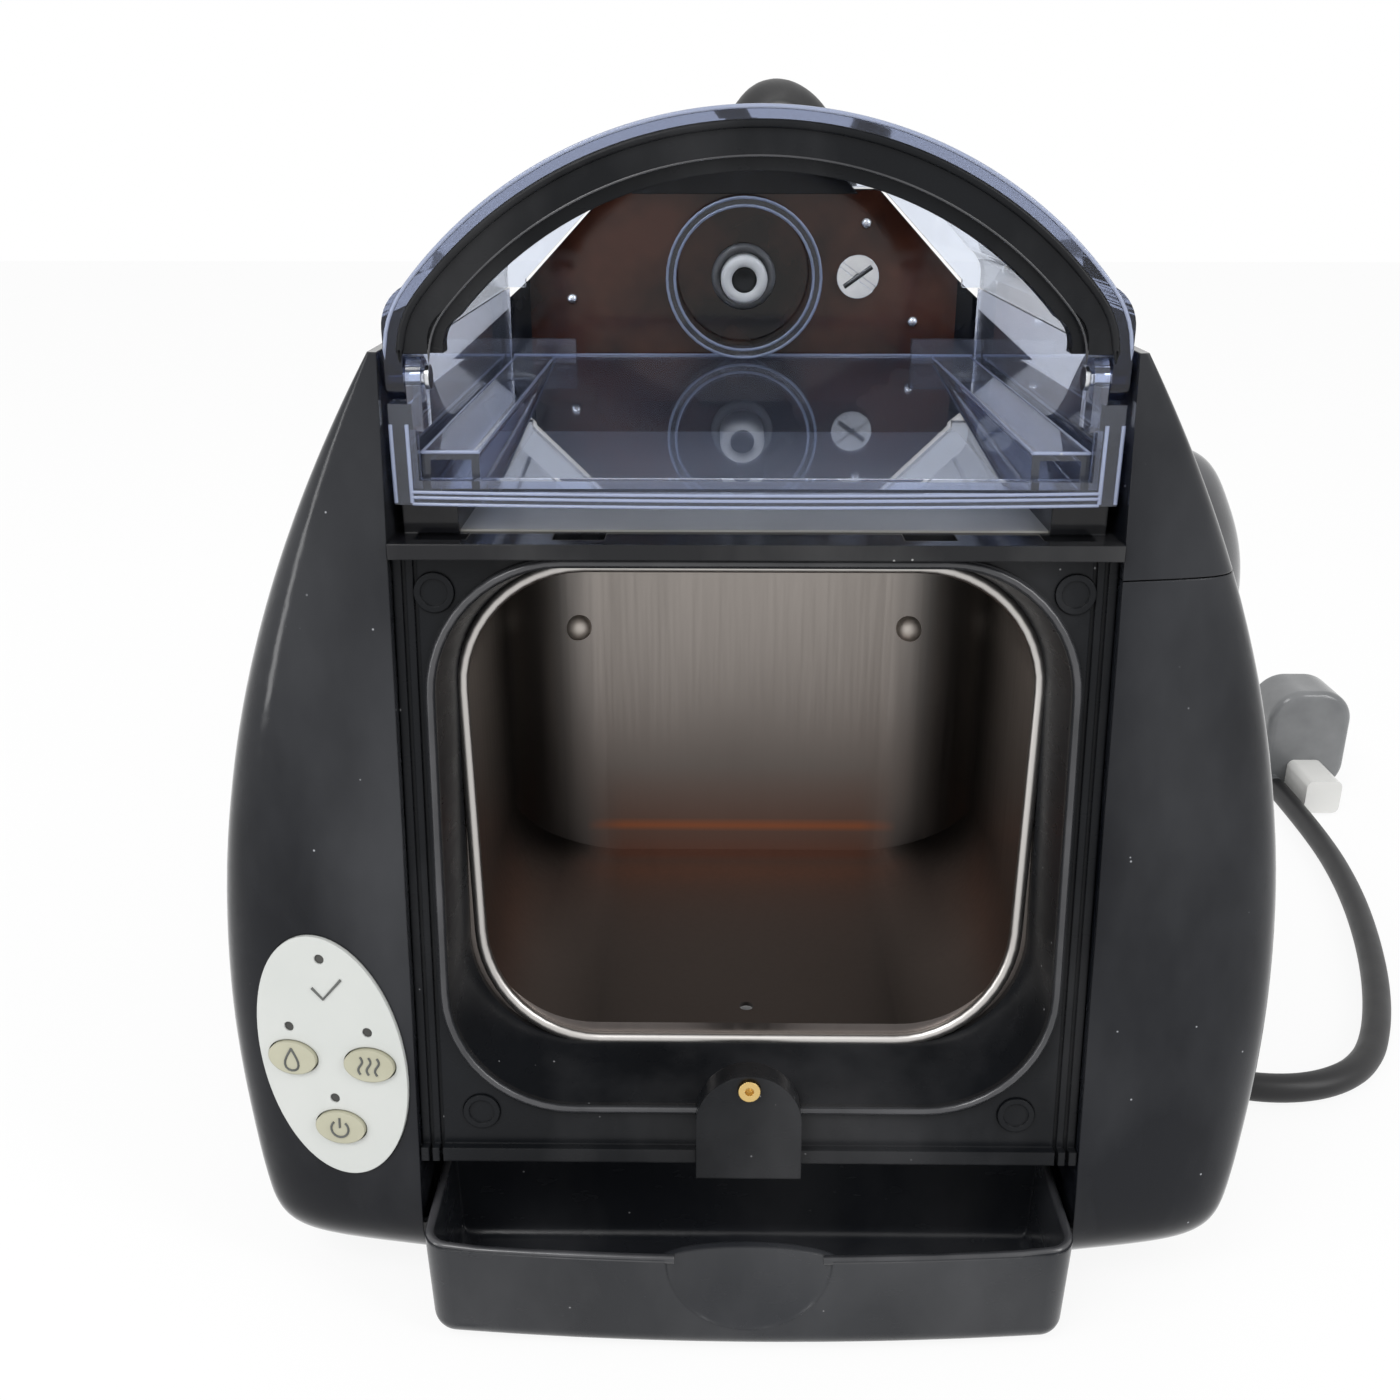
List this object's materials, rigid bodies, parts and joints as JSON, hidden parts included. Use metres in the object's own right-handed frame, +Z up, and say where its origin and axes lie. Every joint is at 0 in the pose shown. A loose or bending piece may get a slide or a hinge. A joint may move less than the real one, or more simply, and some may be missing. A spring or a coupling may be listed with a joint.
{
  "type": "jewellery cleaner",
  "caption": "Desk-top steam and ultrasonic jewellery cleaner with a clear hinged hood, steel compartment, drip tray, side controls, boiler cap and mains lead.",
  "frame": {"origin": "centre of the machine's footprint on the table, mains lead left out", "axes": "+Z up; the open compartment and the drip tray face -Y; +X is the boiler cap's side, at the right when seen from the front"},
  "size_m": [0.3476, 0.3268, 0.2543],
  "materials": {
    "black_gloss": "moulded, glossy, fine scuffs",
    "black_satin": "moulded, satin",
    "clear_blue": "clear polycarbonate with a blue tint",
    "panel_grey": "smooth grey-white",
    "button_olive": "smooth olive-beige",
    "led_tint": "dark lens",
    "panel_brown": "mirror-gloss dark brown",
    "steel": "brushed, rolled edge polished",
    "zinc": "zinc plated",
    "brass": "turned",
    "aluminium": "cast",
    "rubber_black": "satin",
    "rubber_grey": "silicone",
    "white_plastic": "smooth",
    "board_green": "laminate",
    "copper": "copper, drawn"
  },
  "bodies": {
    "casing": {"left_shell": "black_gloss", "right_shell": "black_gloss", "front_frame": "black_satin", "top_deck": "black_gloss", "nozzle_housing": "black_gloss", "rear_cover": "black_satin", "base_pan": "black_satin", "drain_post": "black_satin", "frame_screws": "black_satin", "hood_floor": "clear_blue", "nozzle_ring": "clear_blue", "hood_pins": "zinc", "nozzle_panel": "panel_brown", "steam_nozzle": "white_plastic", "panel_screw": "zinc", "panel_rivets": "zinc", "tank_liner": "steel", "tank_gasket": "rubber_black", "drain_jet": "brass", "drain_tube": "rubber_grey", "control_panel": "panel_grey", "indicator_leds": "led_tint", "control_board": "board_green", "tact_switches": "black_satin", "transducers": "aluminium", "driver_board": "board_green", "driver_parts": "aluminium", "power_board": "board_green", "terminal_block": "white_plastic", "boiler": "aluminium", "boiler_heater": "aluminium", "boiler_stand": "zinc", "thermostat": "zinc", "thermal_fuse": "white_plastic", "steam_valve": "brass", "valve_coil": "copper", "steam_pipe": "copper", "base_screws": "zinc", "cover_screws": "zinc", "rubber_feet": "rubber_black", "cord_gland": "rubber_black", "power_cord": "rubber_black", "plug_lead": "rubber_black", "cord_coil": "rubber_black", "plug_body": "black_gloss", "plug_pins": "brass", "plug_cover": "white_plastic"},
    "hood": {"hood_dome": "clear_blue", "hood_seal": "black_satin"},
    "drip_tray_body": {"drip_tray": "black_satin"},
    "clean_button_body": {"clean_button": "button_olive"},
    "steam_button_body": {"steam_button": "button_olive"},
    "power_button_body": {"power_button": "button_olive"},
    "cap_lift": {"cap_seal": "rubber_grey"},
    "cap_turn": {"boiler_cap": "black_satin"},
    "pod_cap_body": {"right_pod_cap": "black_gloss"}
  },
  "joints": [
    {"name": "hood_hinge", "type": "hinge", "parent": "casing", "child": "hood", "pos_m": [0, -0.069, 0.194], "axis": [1, 0, 0], "range_deg": [0, 75]},
    {"name": "tray_slide", "type": "slide", "parent": "casing", "child": "drip_tray_body", "axis": [0, -1, 0], "range_m": [0, 0.03]},
    {"name": "clean_press", "type": "slide", "parent": "casing", "child": "clean_button_body", "axis": [0.1622, 0.9789, -0.124], "range_m": [0, 0.0008], "stiffness_N_per_m": 900},
    {"name": "steam_press", "type": "slide", "parent": "casing", "child": "steam_button_body", "axis": [0.1622, 0.9789, -0.124], "range_m": [0, 0.0008], "stiffness_N_per_m": 900},
    {"name": "power_press", "type": "slide", "parent": "casing", "child": "power_button_body", "axis": [0.1622, 0.9789, -0.124], "range_m": [0, 0.0008], "stiffness_N_per_m": 900},
    {"name": "cap_rise", "type": "slide", "parent": "casing", "child": "cap_lift", "axis": [0, 0, 1], "range_m": [0, 0.006]},
    {"name": "cap_screw", "type": "hinge", "parent": "cap_lift", "child": "cap_turn", "pos_m": [0.0915, -0.021, 0.135], "axis": [0, 0, 1], "range_deg": [0, 720]},
    {"name": "pod_cap_lift", "type": "slide", "parent": "casing", "child": "pod_cap_body", "axis": [0, 0, 1], "range_m": [0, 0.025]}
  ]
}
